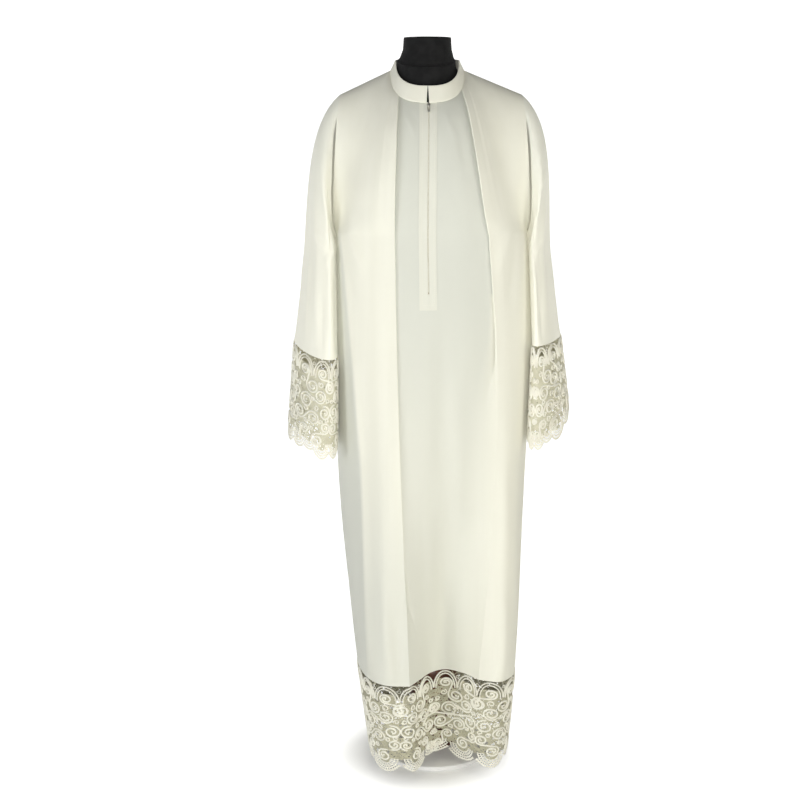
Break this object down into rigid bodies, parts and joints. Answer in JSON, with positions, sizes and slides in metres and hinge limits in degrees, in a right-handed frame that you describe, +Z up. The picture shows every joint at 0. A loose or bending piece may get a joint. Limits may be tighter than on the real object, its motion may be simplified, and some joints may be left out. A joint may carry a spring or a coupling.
{
  "type": "alb robe on a dress form",
  "caption": "Ankle-length alb robe with deep front pleats, a zipped placket, a stand collar and lace at the hem and cuffs, on a limbless dress form with a turned post.",
  "frame": {"origin": "on the floor, under the middle of the stand's post", "axes": "+Z up, -Y out of the front of the robe, +X to the right of someone who looks at its front"},
  "size_m": [0.632, 0.3491, 1.6],
  "materials": {
    "cloth": "matt weave",
    "lace": "matt thread",
    "zip_tape": "woven tape",
    "zip_chain": "satin",
    "zip_metal": "polished",
    "jersey": "knitted",
    "wood": "varnished",
    "base_paint": "satin"
  },
  "bodies": {
    "robe_on_form": {"front_panel": "cloth", "back_panel": "cloth", "collar": "cloth", "left_sleeve": "cloth", "right_sleeve": "cloth", "zip_placket": "cloth", "zip_tape": "zip_tape", "zip_chain": "zip_chain", "zip_slider": "zip_metal", "hem_lace_front": "lace", "hem_lace_back": "lace", "left_cuff_lace_front": "lace", "left_cuff_lace_back": "lace", "right_cuff_lace_front": "lace", "right_cuff_lace_back": "lace", "form_torso": "jersey", "form_post": "wood", "form_base": "base_paint"},
    "pull_tab": {"zip_pull_tab": "zip_metal"}
  },
  "joints": [
    {"name": "zip_pull", "type": "hinge", "parent": "robe_on_form", "child": "pull_tab", "pos_m": [-0.01829, -0.12019, 1.46278], "axis": [-1, 0, 0], "range_deg": [0, 150]}
  ]
}
